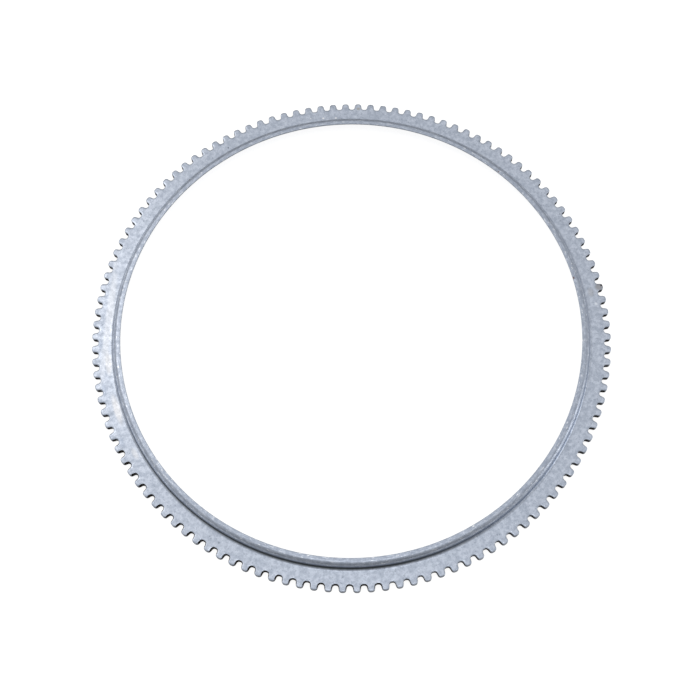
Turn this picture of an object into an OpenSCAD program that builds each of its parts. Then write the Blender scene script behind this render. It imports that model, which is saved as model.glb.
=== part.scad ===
// abs tone ring: one stamped steel ring, 120 teeth round the outside and a pressed lip round the bore
// frame: origin at the centre of the flange's flat underside, +Z along the bore towards the lip, +X through a tooth

/* [Pressed lip] */
// radius of the bore under the lip's top edge
bore_r = 91.9; // [86:0.1:98]
// width of the lip from the bore to its outer wall
lip_w = 3.3; // [2.9:0.05:4.2]
// height of the lip above the flange
lip_h = 4.0; // [3.7:0.1:5.5]
// radius of the shoulder round the lip's outer top edge
shoulder_r = 2.15; // [0.8:0.05:2.4]
// radius in the corner where the lip meets the flange
foot_fillet_r = 1.2; // [0.4:0.05:1.5]

/* [Toothed flange] */
// width of the flange from the lip's outer wall to the roots of the tooth gaps
flange_w = 6.15; // [5:0.05:9]
// depth of a tooth from its tip to the root of the gap
tooth_depth = 2.65; // [1.7:0.05:3.4]
// thickness of the sheet
plate_t = 2.7; // [2.0:0.1:4.0]
// radius that the blanking die leaves on the upper edge of the tips
tip_roll_r = 0.35; // [0.15:0.05:0.8]

/* [Tooth gaps] */
// number of teeth
teeth = 120; // [90:1:128]
// width of a gap between its flanks where they meet the root
gap_root_w = 2.05; // [1.7:0.05:2.4]
// lean of each flank away from the tooth's centre line
flank_angle = 10.0; // [4:0.5:14]
// radius in each corner of the gap's root
root_fillet_r = 0.95; // [0.4:0.05:1.0]
// radius on each corner of a tooth tip
tip_corner_r = 1.05; // [0.3:0.05:1.1]

/* [Bore under the lip] */
// height of the straight land that grips the hub
land_h = 0.6; // [0.4:0.05:1.6]
// lean of the relief cone under the land, from the bore's axis
relief_angle = 32.0; // [20:0.5:34]
// radius on the land's top edge
edge_r = 0.15; // [0.1:0.05:0.3]

/* [Hidden] */
$fn = 96;
// how far a cutter runs past the face it leaves by
over = 1.0;
// how far a tip corner's circle would rise over the crown, and how far it crosses the flank's line
tip_rise = 0.05;
tip_cross = 0.02;

wall_r = bore_r + lip_w;
root_r = wall_r + flange_w;
tip_r = root_r + tooth_depth;
lip_top_z = plate_t + lip_h;
land_low_z = lip_top_z - land_h;
relief_low_r = bore_r + land_low_z * tan(relief_angle);
pitch_angle = 360 / teeth;

// The gap is drawn with its root on y = 0 and its mouth up, so the flanks are lines through x = +-flank_x(y)
function flank_x(y) = gap_root_w / 2 + y * tan(flank_angle);
// centre of a root corner's circle, touching the root and one flank
root_c_x = flank_x(root_fillet_r) - root_fillet_r / cos(flank_angle);
// where that circle touches the flank
root_t_x = root_c_x + root_fillet_r * cos(flank_angle);
root_t_y = root_fillet_r - root_fillet_r * sin(flank_angle);
// centre of a tip corner's circle, inside the tooth and touching the flank; it tops the crown a little, so that
// corner and crown meet at an edge
tip_c_r = tip_r - tip_corner_r + tip_rise;
tip_c_y = sqrt(tip_c_r * tip_c_r - pow(flank_x(tooth_depth) + tip_corner_r, 2)) - root_r;
tip_c_x = flank_x(tip_c_y) + (tip_corner_r - tip_cross) / cos(flank_angle);
// where that circle touches the flank
tip_t_x = tip_c_x - (tip_corner_r - tip_cross) * cos(flank_angle);
tip_t_y = tip_c_y + (tip_corner_r - tip_cross) * sin(flank_angle);
// a point just inside the top of that circle and just over the crown
mouth_angle = atan2(tip_c_x, root_r + tip_c_y);
mouth_x = (tip_r + tip_rise / 2) * sin(mouth_angle);
mouth_y = (tip_r + tip_rise / 2) * cos(mouth_angle) - root_r;

// one gap: straight flanks, rounded root corners, and a mouth that flares round the tip corners
module gap_outline() {
  difference() {
    union() {
      polygon([
        [-root_c_x, 0],
        [root_c_x, 0],
        [root_t_x, root_t_y],
        [tip_t_x, tip_t_y],
        [mouth_x, mouth_y],
        [mouth_x, tooth_depth + over],
        [-mouth_x, tooth_depth + over],
        [-mouth_x, mouth_y],
        [-tip_t_x, tip_t_y],
        [-root_t_x, root_t_y]
      ]);
      for (side = [-1, 1])
        translate([side * root_c_x, root_fillet_r])
          circle(r = root_fillet_r);
    }
    for (side = [-1, 1])
      translate([side * tip_c_x, tip_c_y])
        circle(r = tip_corner_r);
  }
}

// the section of the ring before its gaps are cut: x is the radius and y the height
module ring_section() {
  difference() {
    union() {
      // flange, with the die's roll on the upper edge of the tips
      translate([bore_r, 0])
        square([tip_r - tip_roll_r - bore_r, plate_t]);
      translate([bore_r, 0])
        square([tip_r - bore_r, plate_t - tip_roll_r]);
      translate([tip_r - tip_roll_r, plate_t - tip_roll_r])
        circle(r = tip_roll_r);
      // lip, with a rounded shoulder outside and a broken edge inside
      translate([bore_r, 0])
        square([lip_w, lip_top_z - shoulder_r]);
      translate([bore_r + edge_r, 0])
        square([lip_w - shoulder_r - edge_r, lip_top_z]);
      translate([bore_r, 0])
        square([lip_w - shoulder_r, lip_top_z - edge_r]);
      intersection() {
        translate([wall_r - shoulder_r, lip_top_z - shoulder_r])
          circle(r = shoulder_r);
        translate([bore_r + edge_r, 0])
          square([lip_w - edge_r + over, lip_top_z + over]);
      }
      translate([bore_r + edge_r, lip_top_z - edge_r])
        circle(r = edge_r);
      // fillet at the lip's foot
      difference() {
        translate([wall_r, plate_t])
          square([foot_fillet_r, foot_fillet_r]);
        translate([wall_r + foot_fillet_r, plate_t + foot_fillet_r])
          circle(r = foot_fillet_r);
      }
    }
    // relief cone below the land
    polygon([
      [bore_r - over, land_low_z],
      [bore_r, land_low_z],
      [relief_low_r, 0],
      [relief_low_r, -over],
      [bore_r - over, -over]
    ]);
  }
}

module tone_ring() {
  color([0.72, 0.75, 0.80])
    difference() {
      rotate_extrude() ring_section();
      for (i = [0 : teeth - 1])
        rotate([0, 0, (i + 0.5) * pitch_angle - 90])
          translate([0, root_r, -over])
            linear_extrude(height = plate_t + 2 * over)
              gap_outline();
    }
}

tone_ring();
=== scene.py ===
"""ABS tone ring: one stamped, zinc-plated steel ring lying on a white studio table."""

from __future__ import annotations

import logging
import math
from dataclasses import dataclass
from enum import Enum

import bmesh
import bpy
from mathutils import Matrix, Vector

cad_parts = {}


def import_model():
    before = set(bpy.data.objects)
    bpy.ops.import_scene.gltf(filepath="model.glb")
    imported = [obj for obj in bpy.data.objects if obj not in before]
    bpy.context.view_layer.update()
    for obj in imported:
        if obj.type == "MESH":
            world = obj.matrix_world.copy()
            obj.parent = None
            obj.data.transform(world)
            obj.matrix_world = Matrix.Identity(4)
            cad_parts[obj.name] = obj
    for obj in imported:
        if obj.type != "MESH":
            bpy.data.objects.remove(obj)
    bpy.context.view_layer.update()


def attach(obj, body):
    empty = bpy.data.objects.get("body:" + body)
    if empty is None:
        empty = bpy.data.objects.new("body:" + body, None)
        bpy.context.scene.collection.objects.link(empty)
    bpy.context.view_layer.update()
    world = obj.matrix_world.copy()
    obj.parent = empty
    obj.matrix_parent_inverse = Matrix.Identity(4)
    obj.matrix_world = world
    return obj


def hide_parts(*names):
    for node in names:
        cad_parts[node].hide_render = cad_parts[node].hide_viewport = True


MM = 0.001
NODE = "tone_ring"
BODY = "root"
PICTURE_SIDE = 700
MERGE_DISTANCE = 0.004 * MM
TOLERANCE = 0.01 * MM
WHITE = "FFFFFF"

# Settings of shader nodes
TIMES = {"operation": "MULTIPLY"}
LENGTH = {"operation": "LENGTH"}
DOT = {"operation": "DOT_PRODUCT"}
SMOOTH = {"interpolation_type": "SMOOTHSTEP"}
COLOURS = {"data_type": "RGBA"}

log = logging.getLogger("tone_ring")

Point = tuple[float, float, float]


class Axis(Enum):
    """The axis that a line or a shape is spun about."""

    Y = (0.0, 1.0, 0.0)
    Z = (0.0, 0.0, 1.0)


def linear(code: str) -> tuple[float, float, float, float]:
    """Turn an sRGB hex colour into Blender's linear colour.

    Args:
        code: The colour as six hex digits.

    Returns:
        Red, green and blue in linear light, and full opacity.
    """
    parts = [int(code[start : start + 2], 16) / 255 for start in (0, 2, 4)]
    red, green, blue = (
        part / 12.92 if part <= 0.04045 else ((part + 0.055) / 1.055) ** 2.4 for part in parts
    )
    return (red, green, blue, 1.0)


def polar(radius: float, angle: float, height: float = 0.0) -> Point:
    """Turn a radius, an angle in radians and a height into a point."""
    return (radius * math.cos(angle), radius * math.sin(angle), height)


def turned(across: float, outward: float, angle: float, height: float) -> Point:
    """Place a point of a tooth gap's own frame on the ring.

    Args:
        across: Distance along the rim from the gap's centre line.
        outward: Distance from the ring's axis along that centre line.
        angle: The centre line's angle in radians.
        height: The point's height.

    Returns:
        The point in the ring's frame.
    """
    cosine, sine = math.cos(angle), math.sin(angle)
    return (outward * cosine - across * sine, outward * sine + across * cosine, height)


class Pen:
    """Draws one open line of vertices in edit mode by extruding and spinning its last vertex."""

    def __init__(self, name: str, start: Point) -> None:
        """Start a line from one vertex.

        Args:
            name: Name of the new object.
            start: Place of its first vertex.
        """
        bpy.ops.object.select_all(action="DESELECT")
        bpy.ops.mesh.primitive_plane_add(size=MM)
        self.obj = bpy.context.active_object
        self.obj.name = name
        self.obj.data.name = name
        bpy.ops.object.mode_set(mode="EDIT")
        bpy.ops.mesh.select_mode(type="VERT")
        bpy.ops.mesh.select_all(action="SELECT")
        bpy.ops.mesh.merge(type="CENTER")
        bpy.ops.transform.translate(value=start)

    def here(self) -> Vector:
        """Return the place of the line's last vertex."""
        mesh = bmesh.from_edit_mesh(self.obj.data)
        return next(v.co.copy() for v in mesh.verts if v.select)

    def line_to(self, point: Point) -> None:
        """Draw a straight edge to a point."""
        step = Vector(point) - self.here()
        bpy.ops.mesh.extrude_region_move(TRANSFORM_OT_translate={"value": step})

    def arc(self, centre: Point, axis: Axis, angle: float, steps: int) -> None:
        """Draw an arc by spinning the last vertex.

        Args:
            centre: The arc's centre.
            axis: The axis it turns about.
            angle: How far it turns, in radians, by the right-hand rule. The operator turns the other way.
            steps: How many edges it gets.
        """
        bpy.ops.mesh.spin(steps=steps, angle=-angle, center=centre, axis=axis.value)

    def close_face(self) -> None:
        """Close the line into a loop and fill it with one face."""
        bpy.ops.mesh.select_all(action="SELECT")
        bpy.ops.mesh.remove_doubles(threshold=MERGE_DISTANCE)
        bpy.ops.mesh.select_all(action="SELECT")
        bpy.ops.mesh.edge_face_add()


@dataclass(frozen=True)
class Mark:
    """A stain or fleck that the ring carries, or a patch of painted highlight or painted shade, as a
    soft-edged ellipse.

    The angle is in degrees, and the radius, length and width are in millimetres. The length is along the
    rim.
    """

    angle: float
    radius: float
    length: float
    width: float
    colour: str
    strength: float


MARKS = (
    # rust on one tooth, with a darker spot on its corner
    Mark(9.0, 102.4, 3.2, 4.0, "86807A", 0.60),
    Mark(9.3, 103.4, 1.0, 1.0, "2E241E", 0.95),
    Mark(8.0, 98.5, 4.5, 3.0, "A3A09E", 0.35),
    # rust flecks on the bore's edge and the lip
    Mark(11.6, 92.2, 1.3, 0.8, "6E4A3A", 0.8),
    Mark(46.8, 92.3, 1.0, 0.7, "7A5A50", 0.7),
    Mark(134.4, 94.2, 0.9, 0.8, "7D6A62", 0.6),
    # rusty patch at the root of one tooth on the far side
    Mark(86.9, 101.6, 1.8, 1.6, "9C9484", 0.6),
    # dark nick in the far flange
    Mark(120.9, 98.0, 0.8, 0.9, "6A727E", 0.9),
    # bright flecks beside the lip
    Mark(92.5, 97.3, 0.9, 0.8, "FFFFFF", 0.8),
    Mark(95.7, 97.7, 0.9, 0.8, "FFFFFF", 0.8),
    Mark(98.8, 98.4, 0.7, 0.7, "F2F5FA", 0.7),
    Mark(102.3, 96.3, 0.9, 0.7, "F4F7FC", 0.7),
    Mark(5.0, 99.6, 1.4, 1.3, "E4EAF2", 0.7),
    # painted highlight on the left: streaks of the left light's reflection on the flange beside the lip's
    # foot
    Mark(176.0, 97.7, 60.0, 3.6, "E6E8EC", 0.35),
    Mark(187.0, 97.5, 11.0, 3.0, "F6F2EE", 0.35),
    Mark(198.5, 97.6, 14.0, 3.2, "F6F2EE", 0.40),
    Mark(210.0, 97.9, 6.0, 2.4, "F0EEEC", 0.30),
    # painted shade on the left: dimmer patches where the left light's highlight falls off across the
    # flange
    Mark(152.0, 100.2, 2.4, 1.4, "98A4B6", 0.4),
    Mark(163.5, 99.6, 3.0, 1.6, "9AA6B8", 0.4),
    Mark(182.0, 100.5, 5.0, 2.2, "9CA8BC", 0.45),
    Mark(193.0, 100.6, 6.0, 2.2, "9CA8BC", 0.45),
    Mark(206.0, 100.4, 5.0, 2.0, "9CA8BC", 0.4),
    # dull spots beside the teeth
    Mark(238.5, 98.9, 0.9, 1.0, "76808E", 0.6),
    Mark(287.0, 99.2, 2.4, 1.4, "98A2B0", 0.4),
)


@dataclass
class ToneRing:
    """The toothed ring: a flange of thick sheet with a lip pressed up round its bore."""

    bore_r: float = 91.9 * MM
    lip_w: float = 3.3 * MM
    lip_h: float = 4.0 * MM
    shoulder_r: float = 2.15 * MM
    foot_fillet_r: float = 1.2 * MM
    flange_w: float = 6.15 * MM
    tooth_depth: float = 2.65 * MM
    plate_t: float = 2.7 * MM
    teeth: int = 120
    gap_root_w: float = 2.05 * MM
    flank_angle: float = math.radians(10.0)
    root_fillet_r: float = 0.95 * MM
    tip_corner_r: float = 1.05 * MM
    land_h: float = 0.6 * MM
    relief_angle: float = math.radians(32.0)
    edge_r: float = 0.15 * MM
    # the blanking die's roll along the upper edge of the teeth, and the break along the lower one
    roll_width: float = 0.8 * MM
    roll_depth: float = 0.10 * MM
    roll_radius: float = 0.30 * MM
    roll_steps: int = 3
    burr_break: float = 0.08 * MM
    burr_steps: int = 1
    # where the toothed part of the mesh meets the lip's part
    seam_r: float = 97.4 * MM
    steps_per_tooth: int = 8
    corner_steps: int = 4
    crown_steps: int = 4
    foot_steps: int = 5
    shoulder_steps: int = 8
    lip_edge_steps: int = 4
    smooth_angle: float = math.radians(38.0)
    # a face of the outline whose normal rises less than this is a sheared wall, with more in the near left
    # gaps, where the walls' dark finish spreads onto the roll as painted shade
    wall_limit: float = 0.5
    shaded_gap_limit: float = 0.98
    shaded_gaps_deg: tuple[float, float] = (206.0, 276.0)

    @property
    def pitch(self) -> float:
        """Angle from one tooth to the next, in radians."""
        return math.tau / self.teeth

    @property
    def wall_r(self) -> float:
        """Radius of the lip's outer wall."""
        return self.bore_r + self.lip_w

    @property
    def root_r(self) -> float:
        """Radius of the gaps' roots."""
        return self.wall_r + self.flange_w

    @property
    def tip_r(self) -> float:
        """Radius over the tooth tips."""
        return self.root_r + self.tooth_depth

    @property
    def top_z(self) -> float:
        """Height of the lip's top."""
        return self.plate_t + self.lip_h

    def flank_at(self, rise: float) -> float:
        """Return half the gap's width at a distance above its root."""
        return self.gap_root_w / 2 + rise * math.tan(self.flank_angle)

    def draw_tooth(self) -> bpy.types.Object:
        """Model one pitch of the toothed flange, from the middle of one gap to the middle of the next.

        Returns:
            The pitch as a slab, open on the faces that meet its neighbours and the lip.
        """
        lean = self.flank_angle
        quarter = math.pi / 2 - lean
        half = self.pitch / 2
        z = self.plate_t
        root_across = self.flank_at(self.root_fillet_r) - self.root_fillet_r / math.cos(lean)
        root_out = self.root_r + self.root_fillet_r
        root_touch = self.root_fillet_r * (1 - math.sin(lean))
        corner_r = self.tip_r - self.tip_corner_r
        corner_reach = self.flank_at(self.tooth_depth) + self.tip_corner_r
        corner_out = math.sqrt(corner_r**2 - corner_reach**2)
        corner_across = self.flank_at(corner_out - self.root_r) + self.tip_corner_r / math.cos(lean)
        corner_tilt = math.atan2(corner_across, corner_out)
        touch_across = corner_across - self.tip_corner_r * math.cos(lean)
        touch_out = corner_out + self.tip_corner_r * math.sin(lean)
        corner = (Axis.Z, quarter + corner_tilt, self.corner_steps)
        root = (Axis.Z, -quarter, self.corner_steps)

        pen = Pen("tooth", turned(0.0, self.root_r, -half, z))
        pen.line_to(turned(root_across, self.root_r, -half, z))
        pen.arc(turned(root_across, root_out, -half, z), *root)
        pen.line_to(turned(touch_across, touch_out, -half, z))
        pen.arc(turned(corner_across, corner_out, -half, z), *corner)
        pen.arc((0.0, 0.0, z), Axis.Z, 2 * (half - corner_tilt), self.crown_steps)
        pen.arc(turned(-corner_across, corner_out, half, z), *corner)
        pen.line_to(turned(-self.flank_at(root_touch), self.root_r + root_touch, half, z))
        pen.arc(turned(-root_across, root_out, half, z), *root)
        pen.line_to(turned(0.0, self.root_r, half, z))
        pen.line_to(polar(self.seam_r, half, z))
        pen.arc((0.0, 0.0, z), Axis.Z, -self.pitch, self.steps_per_tooth)
        pen.line_to(turned(0.0, self.root_r, -half, z))
        pen.close_face()
        bpy.ops.mesh.select_all(action="SELECT")
        bpy.ops.mesh.extrude_region_move(TRANSFORM_OT_translate={"value": (0.0, 0.0, -self.plate_t)})
        self.open_joints(pen.obj)
        return pen.obj

    def open_joints(self, obj: bpy.types.Object) -> None:
        """Delete the side faces where the pitch meets its neighbours and the lip.

        Args:
            obj: The pitch, in edit mode.
        """
        mesh = bmesh.from_edit_mesh(obj.data)
        half = self.pitch / 2
        bpy.ops.mesh.select_all(action="DESELECT")
        bpy.ops.mesh.select_mode(type="FACE")
        for face in mesh.faces:
            places = [vert.co for vert in face.verts]
            angles = [abs(abs(math.atan2(at.y, at.x)) - half) * at.xy.length for at in places]
            radii = [abs(at.xy.length - self.seam_r) for at in places]
            heights = [at.z for at in places]
            upright = max(heights) - min(heights) > TOLERANCE
            if upright and (max(angles) < TOLERANCE or max(radii) < TOLERANCE):
                face.select_set(True)
        bmesh.update_edit_mesh(obj.data)
        bpy.ops.mesh.delete(type="FACE")
        bpy.ops.mesh.select_mode(type="EDGE")

    def roll_teeth(self, obj: bpy.types.Object) -> None:
        """Let the top fall away a little towards the toothed outline, as the blanking die leaves it.

        Args:
            obj: The toothed ring, in edit mode.
        """
        mesh = bmesh.from_edit_mesh(obj.data)
        bpy.ops.mesh.select_all(action="DESELECT")
        bpy.ops.mesh.select_mode(type="FACE")
        for face in mesh.faces:
            face.select_set(all(abs(v.co.z - self.plate_t) < TOLERANCE for v in face.verts))
        bmesh.update_edit_mesh(obj.data)
        bpy.ops.mesh.inset(use_boundary=False, thickness=self.roll_width)
        bpy.ops.mesh.select_mode(type="VERT")
        mesh = bmesh.from_edit_mesh(obj.data)
        bpy.ops.mesh.select_all(action="DESELECT")
        for vert in mesh.verts:
            on_top = abs(vert.co.z - self.plate_t) < TOLERANCE
            over_wall = any(other.co.z < TOLERANCE for edge in vert.link_edges for other in edge.verts)
            vert.select_set(on_top and over_wall)
        bmesh.update_edit_mesh(obj.data)
        bpy.ops.transform.translate(value=(0.0, 0.0, -self.roll_depth))
        bpy.ops.mesh.select_mode(type="EDGE")

    def soften_rim(self, obj: bpy.types.Object, height: float, width: float, steps: int) -> None:
        """Round the toothed outline's edges at one face of the flange.

        Args:
            obj: The toothed ring, in edit mode.
            height: Height of the face.
            width: How wide the rounding is.
            steps: How many faces make it.
        """
        mesh = bmesh.from_edit_mesh(obj.data)
        bpy.ops.mesh.select_all(action="DESELECT")
        for edge in mesh.edges:
            flat = all(abs(v.co.z - height) < TOLERANCE for v in edge.verts)
            rim = all(v.co.xy.length > self.root_r - TOLERANCE for v in edge.verts)
            if flat and rim:
                edge.select_set(True)
        bmesh.update_edit_mesh(obj.data)
        bpy.ops.mesh.bevel(offset=width, offset_type="OFFSET", segments=steps, affect="EDGES")

    def repeat_teeth(self, tooth: bpy.types.Object) -> None:
        """Copy the pitch round the ring, weld the copies and round the rim's edges.

        Args:
            tooth: One pitch, in edit mode.
        """
        copies = self.teeth - 1
        turn = math.tau * copies / self.teeth
        bpy.ops.mesh.select_all(action="SELECT")
        bpy.ops.mesh.spin(steps=copies, dupli=True, angle=turn, center=(0.0, 0.0, 0.0), axis=Axis.Z.value)
        bpy.ops.mesh.select_all(action="SELECT")
        bpy.ops.mesh.remove_doubles(threshold=MERGE_DISTANCE)
        self.roll_teeth(tooth)
        self.soften_rim(tooth, self.plate_t - self.roll_depth, self.roll_radius, self.roll_steps)
        self.soften_rim(tooth, 0.0, self.burr_break, self.burr_steps)
        bpy.ops.object.mode_set(mode="OBJECT")

    def draw_lip(self) -> bpy.types.Object:
        """Draw the lip's section and spin it round the bore.

        Returns:
            The inner flange and the lip as an open shell that ends where the teeth begin.
        """
        land_z = self.top_z - self.land_h
        relief_low_r = self.bore_r + land_z * math.tan(self.relief_angle)
        quarter = math.pi / 2
        foot = (self.wall_r + self.foot_fillet_r, 0.0, self.plate_t + self.foot_fillet_r)
        shoulder = (self.wall_r - self.shoulder_r, 0.0, self.top_z - self.shoulder_r)
        edge = (self.bore_r + self.edge_r, 0.0, self.top_z - self.edge_r)
        pen = Pen("lip", (self.seam_r, 0.0, self.plate_t))
        pen.line_to((foot[0], 0.0, self.plate_t))
        pen.arc(foot, Axis.Y, quarter, self.foot_steps)
        pen.line_to((self.wall_r, 0.0, shoulder[2]))
        pen.arc(shoulder, Axis.Y, -quarter, self.shoulder_steps)
        pen.line_to((edge[0], 0.0, self.top_z))
        pen.arc(edge, Axis.Y, -quarter, self.lip_edge_steps)
        pen.line_to((self.bore_r, 0.0, land_z))
        pen.line_to((relief_low_r, 0.0, 0.0))
        pen.line_to((self.seam_r, 0.0, 0.0))
        steps = self.teeth * self.steps_per_tooth
        bpy.ops.mesh.select_all(action="SELECT")
        bpy.ops.mesh.spin(steps=steps, angle=math.tau, center=(0.0, 0.0, 0.0), axis=Axis.Z.value)
        bpy.ops.mesh.select_all(action="SELECT")
        bpy.ops.mesh.remove_doubles(threshold=MERGE_DISTANCE)
        bpy.ops.object.mode_set(mode="OBJECT")
        return pen.obj

    def build(self) -> bpy.types.Object:
        """Model the whole ring as one closed mesh, and dress it.

        Returns:
            The finished ring.
        """
        teeth = self.draw_tooth()
        self.repeat_teeth(teeth)
        lip = self.draw_lip()
        bpy.ops.object.select_all(action="DESELECT")
        teeth.select_set(True)
        lip.select_set(True)
        bpy.context.view_layer.objects.active = teeth
        bpy.ops.object.join()
        ring = bpy.context.active_object
        ring.name = "ring"
        ring.data.name = "ring"
        bpy.ops.object.mode_set(mode="EDIT")
        bpy.ops.mesh.select_all(action="SELECT")
        bpy.ops.mesh.remove_doubles(threshold=MERGE_DISTANCE)
        bpy.ops.mesh.select_all(action="SELECT")
        bpy.ops.mesh.normals_make_consistent(inside=False)
        bpy.ops.object.mode_set(mode="OBJECT")
        bpy.ops.object.shade_smooth_by_angle(angle=self.smooth_angle)
        self.mark_cut_walls(ring)
        weighted = ring.modifiers.new("face_weighted_normals", "WEIGHTED_NORMAL")
        weighted.keep_sharp = True
        bpy.ops.object.modifier_apply(modifier=weighted.name)
        self.dress(ring)
        self.report(ring)
        return ring

    def dress(self, ring: bpy.types.Object) -> None:
        """Put the plating on the ring, and the sheared finish in its second slot."""
        ring.data.materials.append(ZincPlating().make(self))
        ring.data.materials.append(ShearedSteel().make(self))

    def mark_cut_walls(self, ring: bpy.types.Object) -> None:
        """Give the upright walls of the toothed outline the ring's second material slot.

        On the near left the gaps' upper edges take the walls' dark finish too, so their roll goes with the
        walls: painted shade that widens the dark in those gaps.

        Args:
            ring: The whole ring.
        """
        first, last = self.shaded_gaps_deg
        for face in ring.data.polygons:
            away = face.center.xy.length
            angle = math.degrees(math.atan2(face.center.y, face.center.x)) % 360
            shaded_gap = first < angle < last and away < self.tip_r - self.roll_width
            limit = self.shaded_gap_limit if shaded_gap else self.wall_limit
            if away > self.root_r - self.roll_radius and abs(face.normal.z) < limit:
                face.material_index = 1

    def report(self, ring: bpy.types.Object) -> None:
        """Log the ring's triangles and whether its mesh is closed.

        Args:
            ring: The whole ring.
        """
        mesh = bmesh.new()
        mesh.from_mesh(ring.data)
        open_edges = sum(1 for edge in mesh.edges if not edge.is_manifold)
        triangles = sum(len(face.verts) - 2 for face in mesh.faces)
        mesh.free()
        log.info("%s: %d triangles, %d open edges", ring.name, triangles, open_edges)


class Shader:
    """A node tree with one small function that adds a node."""

    def __init__(self, tree: bpy.types.NodeTree) -> None:
        """Empty a node tree and keep it."""
        self.tree = tree
        tree.nodes.clear()

    def add(self, kind: str, settings: dict | None = None, **inputs: object) -> bpy.types.Node:
        """Add a node.

        Args:
            kind: The node's type name.
            settings: Its own properties.
            **inputs: Its sockets by name, with underscores for spaces, or iN for the Nth socket. A value
                is a number, a colour, a node, whose first output in use is linked, or a pair of a node
                and the name of an output.

        Returns:
            The new node.
        """
        node = self.tree.nodes.new(kind)
        for name, value in (settings or {}).items():
            setattr(node, name, value)
        for name, value in inputs.items():
            if name[0] == "i" and name[1:].isdigit():
                socket = node.inputs[int(name[1:])]
            else:
                socket = node.inputs[name.replace("_", " ")]
            if isinstance(value, bpy.types.Node):
                source = next(out for out in value.outputs if out.enabled)
                self.tree.links.new(source, socket)
            elif isinstance(value, tuple) and isinstance(value[0], bpy.types.Node):
                self.tree.links.new(value[0].outputs[value[1]], socket)
            else:
                socket.default_value = value
        return node


@dataclass(frozen=True)
class Pattern:
    """An even, random pattern: how large its features are, and the levels between which it fades in."""

    size_mm: float
    detail: float
    low: float = 0.0
    high: float = 1.0
    share: float = 1.0
    roughness: float = 0.6

    def noise(self, tree: Shader, place: object) -> bpy.types.Node:
        """Add the pattern's noise, whose features are as large in the metal as its size says."""
        scale = 1 / (self.size_mm * MM)
        return tree.add(
            "ShaderNodeTexNoise", Vector=place, Scale=scale, Detail=self.detail, Roughness=self.roughness
        )

    def fade(self, tree: Shader, noise: bpy.types.Node) -> bpy.types.Node:
        """Add the mask that the noise fades in, up to the pattern's share."""
        return tree.add(
            "ShaderNodeMapRange", SMOOTH, Value=noise,
            From_Min=self.low, From_Max=self.high, To_Max=self.share,
        )

    def mask(self, tree: Shader, place: object) -> bpy.types.Node:
        """Add the noise and its mask."""
        return self.fade(tree, self.noise(tree, place))


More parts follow.
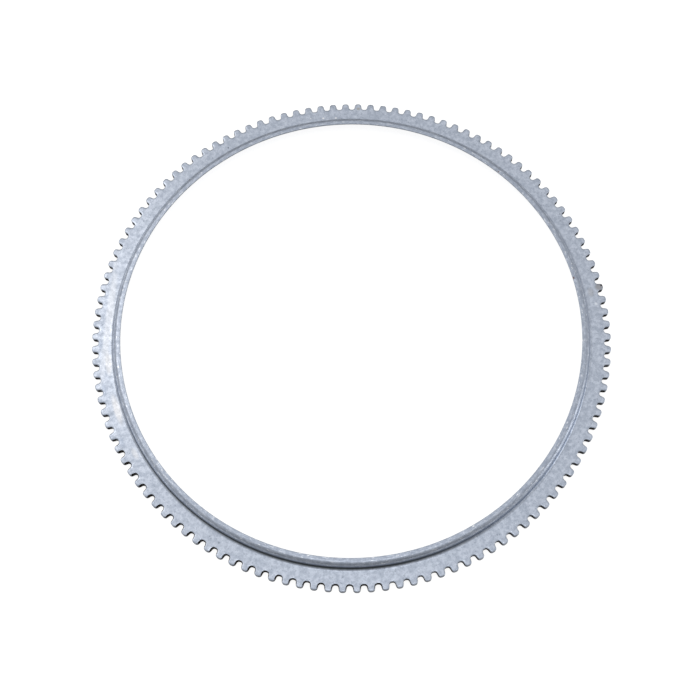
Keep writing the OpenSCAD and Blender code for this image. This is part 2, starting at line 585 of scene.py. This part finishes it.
@dataclass(frozen=True)
class ZincPlating:
    """Zinc plating on cold-rolled steel sheet, blanked, pressed, barrel plated and clear passivated.

    The zinc is a pale blue-white metal with a satin sheen. Tumbling leaves small nicks, a fine grain and
    a mottle. Pressing has drawn streaks round the lip. On the near side the crease at the lip's foot is
    darkened as painted shade, tinted like grime.
    """

    base: str = "C8D0DE"
    shade: str = "AEB7C6"
    grit: str = "8C96A6"
    streak: str = "9CA5B5"
    fleck: str = "F4F7FC"
    pit: str = "6C7684"
    # olive dark of the painted shade in the lip's foot
    foot_shade_and_grime: str = "44443A"
    # the mottle dulls the sheen where it is dark
    dull: float = 0.40
    shiny: float = 0.28
    dull_level: float = 0.3
    shiny_level: float = 0.7
    mottle: Pattern = Pattern(1.6, 4.0, 0.32, 0.68)
    # real grain is finer than a tenth of a millimetre, so it is drawn as coarse as it needs to show
    grain: Pattern = Pattern(0.5, 3.0, 0.48, 0.72, 0.5)
    grain_strength: float = 0.45
    grain_depth: float = 0.03 * MM
    pits: Pattern = Pattern(1.1, 2.0, 0.66, 0.74, 0.55)
    # streaks and flecks on the lip are stretched along it
    streaks: Pattern = Pattern(0.52, 3.0, 0.36, 0.64, 0.8)
    flecks: Pattern = Pattern(1.1 / 3, 2.0, 0.62, 0.72)
    stretch: float = 5.0
    # a mark's soft edge, in half widths from its middle
    mark_outside: float = 1.2
    mark_inside: float = 0.4
    # painted shade in the crease at the lip's foot on the near side, tinted like grime
    foot_shade_share: float = 0.85
    foot_shade_angle: float = math.radians(250.0)
    foot_shade_arc: tuple[float, float] = (0.5, 0.92)
    # distances from the lip's outer wall and from the flange's top between which the painted shade at the
    # lip's foot fades
    foot_shade_out: tuple[float, float] = (0.75 * MM, 0.15 * MM)
    foot_shade_in: tuple[float, float] = (-1.0 * MM, -0.1 * MM)
    foot_shade_up: tuple[float, float] = (2.9 * MM, 1.6 * MM)

    def make(self, design: ToneRing) -> bpy.types.Material:
        """Make the plated finish of the pressed faces.

        Args:
            design: The ring's sizes.

        Returns:
            The material.
        """
        material = bpy.data.materials.new("zinc_plated_sheet")
        material.use_nodes = True
        tree = Shader(material.node_tree)
        metres = (tree.add("ShaderNodeTexCoord"), "Object")
        parts = tree.add("ShaderNodeSeparateXYZ", Vector=metres)
        radius = radius_of(tree, metres)
        mottle = self.mottle.noise(tree, metres)
        grain = self.grain.noise(tree, metres)
        layers = (
            (self.mottle.fade(tree, mottle), self.base),
            (self.grain.fade(tree, grain), self.grit),
            (self.pits.mask(tree, metres), self.pit),
            *self.lip_layers(tree, design, parts, radius),
            *(self.mark_layer(tree, metres, mark) for mark in MARKS),
            # painted shade in the lip's foot on the near side
            (self.foot_shade_mask(tree, design, metres, parts, radius), self.foot_shade_and_grime),
        )
        colour: object = linear(self.shade)
        for share, code in layers:
            colour = tree.add("ShaderNodeMix", COLOURS, i0=share, i6=colour, i7=linear(code))
        rough = tree.add(
            "ShaderNodeMapRange", Value=mottle,
            From_Min=self.dull_level, From_Max=self.shiny_level, To_Min=self.dull, To_Max=self.shiny,
        )
        bump = tree.add(
            "ShaderNodeBump", Strength=self.grain_strength, Distance=self.grain_depth, Height=grain
        )
        metal = tree.add(
            "ShaderNodeBsdfPrincipled", Base_Color=colour, Metallic=1.0, Roughness=rough, Normal=bump
        )
        tree.add("ShaderNodeOutputMaterial", Surface=metal)
        return material

    def lip_layers(self, tree: Shader, design: ToneRing, parts: bpy.types.Node, radius: object) -> tuple:
        """Lay streaks and bright flecks round the lip, as the press leaves them.

        Args:
            tree: The tree to add to.
            design: The ring's sizes.
            parts: The place split into x, y and z.
            radius: The distance from the ring's axis.

        Returns:
            Two pairs of a mask and a colour.
        """
        angle = tree.add("ShaderNodeMath", {"operation": "ARCTAN2"}, i0=(parts, "Y"), i1=(parts, "X"))
        along = tree.add("ShaderNodeMath", TIMES, i0=angle, i1=design.bore_r / self.stretch)
        rolled = tree.add("ShaderNodeCombineXYZ", X=radius, Y=along, Z=(parts, "Z"))
        on_lip = tree.add(
            "ShaderNodeMapRange", Value=radius, From_Min=design.wall_r + design.foot_fillet_r / 2,
            From_Max=design.wall_r - design.shoulder_r / 4,
        )
        dark = tree.add("ShaderNodeMath", TIMES, i0=on_lip, i1=self.streaks.mask(tree, rolled))
        bright = tree.add("ShaderNodeMath", TIMES, i0=on_lip, i1=self.flecks.mask(tree, rolled))
        return ((dark, self.streak), (bright, self.fleck))

    def mark_layer(self, tree: Shader, metres: tuple, mark: Mark) -> tuple[bpy.types.Node, str]:
        """Lay one mark on the ring.

        Args:
            tree: The tree to add to.
            metres: The place on the ring.
            mark: The mark.

        Returns:
            Its mask and its colour.
        """
        local = tree.add(
            "ShaderNodeMapping", Vector=metres, Location=(-mark.radius * MM, 0.0, 0.0),
            Rotation=(0.0, 0.0, -math.radians(mark.angle)),
        )
        scale = (2 / (mark.width * MM), 2 / (mark.length * MM), 0.0)
        shrunk = tree.add("ShaderNodeVectorMath", TIMES, i0=local, i1=scale)
        away = tree.add("ShaderNodeVectorMath", LENGTH, i0=shrunk)
        share = tree.add(
            "ShaderNodeMapRange", SMOOTH, Value=away,
            From_Min=self.mark_outside, From_Max=self.mark_inside, To_Max=mark.strength,
        )
        return (share, mark.colour)

    def foot_shade_mask(
        self, tree: Shader, design: ToneRing, metres: tuple, parts: bpy.types.Node, radius: object
    ) -> bpy.types.Node:
        """Find the foot of the lip on the near side, whose crease is darkened as painted shade, tinted
        like grime.

        Args:
            tree: The tree to add to.
            design: The ring's sizes.
            metres: The place on the ring.
            parts: The place split into x, y and z.
            radius: The distance from the ring's axis.

        Returns:
            The mask of the painted shade at the lip's foot.
        """
        towards = polar(1 / design.wall_r, self.foot_shade_angle)
        reach = tree.add("ShaderNodeVectorMath", DOT, i0=metres, i1=towards)
        ramps = (
            (reach, 0.0, self.foot_shade_arc),
            (radius, design.wall_r, self.foot_shade_out),
            (radius, design.wall_r, self.foot_shade_in),
            ((parts, "Z"), design.plate_t, self.foot_shade_up),
        )
        share: object = self.foot_shade_share
        for value, start, (low, high) in ramps:
            fade = tree.add(
                "ShaderNodeMapRange", SMOOTH, Value=value, From_Min=start + low, From_Max=start + high
            )
            share = tree.add("ShaderNodeMath", TIMES, i0=fade, i1=share)
        return share


@dataclass(frozen=True)
class ShearedSteel:
    """Sheared steel on the teeth's walls, torn by the die, which took little zinc.

    In the gaps it is painted almost black and is matt: painted shade, as the gaps' walls mirror the
    shadowed table between the teeth. It turns to bare grey metal at the tips, out of that shade.
    """

    # near black at the gaps' roots: painted shade
    root: str = "2A2622"
    tip: str = "8C919A"
    # distances inside the tips between which the gaps' painted shade gives way to grey metal
    gap_shade_fade: tuple[float, float] = (0.9 * MM, 0.1 * MM)
    root_roughness: float = 0.85
    tip_roughness: float = 0.4
    specular: float = 0.2
    tear: Pattern = Pattern(0.5, 3.0)
    tear_strength: float = 0.5
    tear_depth: float = 0.04 * MM

    def make(self, design: ToneRing) -> bpy.types.Material:
        """Make the finish of the sheared walls.

        Args:
            design: The ring's sizes.

        Returns:
            The material.
        """
        material = bpy.data.materials.new("sheared_edge")
        material.use_nodes = True
        tree = Shader(material.node_tree)
        metres = (tree.add("ShaderNodeTexCoord"), "Object")
        deep, shallow = self.gap_shade_fade
        gap_shade_fade = tree.add(
            "ShaderNodeMapRange", SMOOTH, Value=radius_of(tree, metres), From_Min=design.tip_r - deep,
            From_Max=design.tip_r - shallow,
        )
        # painted shade in the gaps, fading to grey metal at the tips
        colour = tree.add("ShaderNodeMix", COLOURS, i0=gap_shade_fade, i6=linear(self.root), i7=linear(self.tip))
        tear = self.tear.noise(tree, metres)
        bump = tree.add(
            "ShaderNodeBump", Strength=self.tear_strength, Distance=self.tear_depth, Height=tear
        )
        rough = tree.add(
            "ShaderNodeMapRange", Value=gap_shade_fade, To_Min=self.root_roughness, To_Max=self.tip_roughness
        )
        edge = tree.add(
            "ShaderNodeBsdfPrincipled", Base_Color=colour, Metallic=gap_shade_fade, Roughness=rough, Normal=bump,
            Specular_IOR_Level=self.specular,
        )
        tree.add("ShaderNodeOutputMaterial", Surface=edge)
        return material


def radius_of(tree: Shader, metres: tuple) -> bpy.types.Node:
    """Add the distance from the ring's axis."""
    flat = tree.add("ShaderNodeVectorMath", TIMES, i0=metres, i1=(1.0, 1.0, 0.0))
    return tree.add("ShaderNodeVectorMath", LENGTH, i0=flat)


@dataclass(frozen=True)
class Panel:
    """A square soft light aimed at the ring.

    The azimuth is in degrees from +X towards +Y, and the elevation in degrees over the table. The reach
    and the side are in metres, and the power is in watts.
    """

    name: str
    azimuth: float
    elevation: float
    reach: float
    side: float
    power: float
    tint: str = WHITE

    def build(self) -> None:
        """Add the light."""
        lamp = bpy.data.lights.new(self.name, "AREA")
        lamp.shape = "SQUARE"
        lamp.size = self.side
        lamp.energy = self.power
        lamp.color = linear(self.tint)[:3]
        rise = math.radians(self.elevation)
        flat = self.reach * math.cos(rise)
        spot = Vector(polar(flat, math.radians(self.azimuth), self.reach * math.sin(rise)))
        obj = bpy.data.objects.new(self.name, lamp)
        obj.location = spot
        obj.rotation_euler = (-spot).to_track_quat("-Z", "Y").to_euler()
        bpy.context.scene.collection.objects.link(obj)


PANELS = (
    Panel("left_panel", 145.0, 55.0, 1.2, 0.45, 1.1, "FFFBF5"),
    Panel("right_panel", -12.0, 14.0, 1.2, 0.5, 1.0),
    Panel("top_panel", -90.0, 80.0, 1.2, 0.2, 0.35),
)


@dataclass(frozen=True)
class Studio:
    """White table, soft light from a tent overhead, and the camera at the photograph's viewing angle."""

    tooth_phase_deg: float = 1.25
    tilt_deg: float = 19.41
    swing_deg: float = 0.705
    # the camera's place in tip radii, from the ring's centre
    camera_shift: tuple[float, float] = (0.00311, 0.07734)
    camera_reach: float = 4.47987
    focal_px: float = 1160.6
    sensor_mm: float = 36.0
    near_clip: float = 0.01
    far_clip: float = 20.0
    table_side: float = 8.0
    table_drop: float = 0.02 * MM
    table_paint: str = "A8A8A8"
    # how brightly the camera sees the table, and the metal sees it, by its place across the table
    seen_glow: float = 0.86
    mirror_levels: tuple[tuple[float, float], ...] = (
        (0.0, 1.0), (0.14, 0.9), (0.2, 0.5), (0.26, 0.28), (0.52, 0.27), (0.67, 0.4), (0.85, 0.6)
    )
    mirror_reach: float = 0.15
    # within this reach of the ring the table's glow, as the metal sees it, is dimmed by ambient occlusion:
    # a painted shadow
    nook_reach: float = 6.0 * MM
    nook_samples: int = 8
    # the tent's roof, by height with a slight lean away from the camera, and its side walls
    roof_axis: Point = (0.0, 0.2, 1.0)
    roof_levels: tuple[tuple[float, float], ...] = (
        (0.0, 0.30), (0.15, 0.34), (0.5, 0.38), (0.75, 0.52), (0.9, 0.80), (1.0, 0.94)
    )
    wall_levels: tuple[tuple[float, float], ...] = ((0.45, 0.0), (0.95, 0.38))

    def add_camera(self, ring: ToneRing) -> None:
        """Add the camera.

        Args:
            ring: The ring, whose tip radius is the unit of the camera's place.
        """
        across = Matrix.Rotation(math.radians(self.swing_deg), 3, "Y")
        back = Matrix.Rotation(math.radians(self.tilt_deg), 3, "X")
        turn = Matrix.Rotation(math.radians(-self.tooth_phase_deg), 3, "Z")
        rotation = turn @ across @ back
        away = Vector((-self.camera_shift[0], -self.camera_shift[1], self.camera_reach)) * ring.tip_r
        location = rotation @ away + Vector((0.0, 0.0, ring.plate_t))
        camera = bpy.data.cameras.new("camera")
        camera.sensor_width = self.sensor_mm
        camera.lens = self.focal_px / PICTURE_SIDE * self.sensor_mm
        camera.clip_start = self.near_clip
        camera.clip_end = self.far_clip
        obj = bpy.data.objects.new("camera", camera)
        obj.matrix_world = Matrix.Translation(location) @ rotation.to_4x4()
        bpy.context.scene.collection.objects.link(obj)
        bpy.context.scene.camera = obj

    def add_table(self) -> None:
        """Add the table top, which looks white to the camera, pale in the metal and lights nothing."""
        bpy.ops.object.select_all(action="DESELECT")
        bpy.ops.mesh.primitive_plane_add(size=self.table_side, location=(0.0, 0.0, -self.table_drop))
        table = bpy.context.active_object
        table.name = "table"
        material = bpy.data.materials.new("white_table")
        material.use_nodes = True
        tree = Shader(material.node_tree)
        white = linear(WHITE)
        paint = tree.add("ShaderNodeBsdfDiffuse", Color=linear(self.table_paint))
        glow = tree.add("ShaderNodeEmission", Color=white, Strength=self.seen_glow)
        samples = {"samples": self.nook_samples}
        # painted shadow: ambient occlusion dims the glow that the metal sees near the ring
        nook = tree.add("ShaderNodeAmbientOcclusion", samples, Distance=self.nook_reach)
        place = tree.add("ShaderNodeSeparateXYZ", Vector=(tree.add("ShaderNodeTexCoord"), "Object"))
        share = tree.add(
            "ShaderNodeMapRange", Value=place, From_Min=-self.mirror_reach, From_Max=self.mirror_reach
        )
        sides = self.grey_ramp(tree, share, self.mirror_levels)
        held = tree.add("ShaderNodeMath", TIMES, i0=(nook, "AO"), i1=sides)
        mirrored = tree.add("ShaderNodeEmission", Color=white, Strength=held)
        rays = tree.add("ShaderNodeLightPath")
        seen = tree.add("ShaderNodeAddShader", i0=paint, i1=glow)
        reflected = tree.add("ShaderNodeAddShader", i0=paint, i1=mirrored)
        plain = tree.add("ShaderNodeMixShader", i0=(rays, "Is Camera Ray"), i1=paint, i2=seen)
        surface = tree.add("ShaderNodeMixShader", i0=(rays, "Is Glossy Ray"), i1=plain, i2=reflected)
        tree.add("ShaderNodeOutputMaterial", Surface=surface)
        table.data.materials.append(material)

    def light_world(self) -> None:
        """Light the ring with a tent, bright overhead and dim low down, and show white behind it."""
        world = bpy.data.worlds.new("tent")
        bpy.context.scene.world = world
        world.use_nodes = True
        tree = Shader(world.node_tree)
        place = (tree.add("ShaderNodeTexCoord"), "Generated")
        height = tree.add("ShaderNodeVectorMath", DOT, i0=place, i1=self.roof_axis)
        roof = self.grey_ramp(tree, height, self.roof_levels)
        parts = tree.add("ShaderNodeSeparateXYZ", Vector=place)
        aside = tree.add("ShaderNodeMath", {"operation": "ABSOLUTE"}, i0=parts)
        walls = self.grey_ramp(tree, aside, self.wall_levels)
        tent = tree.add("ShaderNodeBackground", Color=roof, Strength=1.0)
        side = tree.add("ShaderNodeBackground", Color=walls, Strength=1.0)
        felt = tree.add("ShaderNodeAddShader", i0=tent, i1=side)
        seen = tree.add("ShaderNodeBackground", Color=linear(WHITE), Strength=1.0)
        rays = tree.add("ShaderNodeLightPath")
        both = tree.add("ShaderNodeMixShader", i0=(rays, "Is Camera Ray"), i1=felt, i2=seen)
        tree.add("ShaderNodeOutputWorld", Surface=both)

    def grey_ramp(
        self, tree: Shader, value: object, levels: tuple[tuple[float, float], ...]
    ) -> bpy.types.Node:
        """Map a value to a grey level through a ramp.

        Args:
            tree: The tree to add to.
            value: The socket to map.
            levels: Pairs of a value and its level, in rising order.

        Returns:
            The ramp's node.
        """
        ramp = tree.add("ShaderNodeValToRGB", Fac=value)
        stops = ramp.color_ramp.elements
        stops[0].position, stops[1].position = levels[0][0], levels[-1][0]
        stops[0].color = (levels[0][1],) * 3 + (1.0,)
        stops[1].color = (levels[-1][1],) * 3 + (1.0,)
        for position, level in levels[1:-1]:
            stops.new(position).color = (level,) * 3 + (1.0,)
        return ramp

    def build(self, ring: ToneRing) -> None:
        """Add the camera, the table and the lights.

        Args:
            ring: The ring, which the camera is placed for.
        """
        self.add_camera(ring)
        self.add_table()
        self.light_world()
        for panel in PANELS:
            panel.build()
        bpy.context.scene.view_settings.view_transform = "Standard"


def main() -> None:
    """Load the frame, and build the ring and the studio."""
    logging.basicConfig(level=logging.INFO, format="%(name)s: %(message)s")
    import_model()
    design = ToneRing()
    Studio().build(design)
    ring = design.build()
    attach(ring, BODY)
    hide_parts(NODE)


if __name__ == "__main__":
    main()
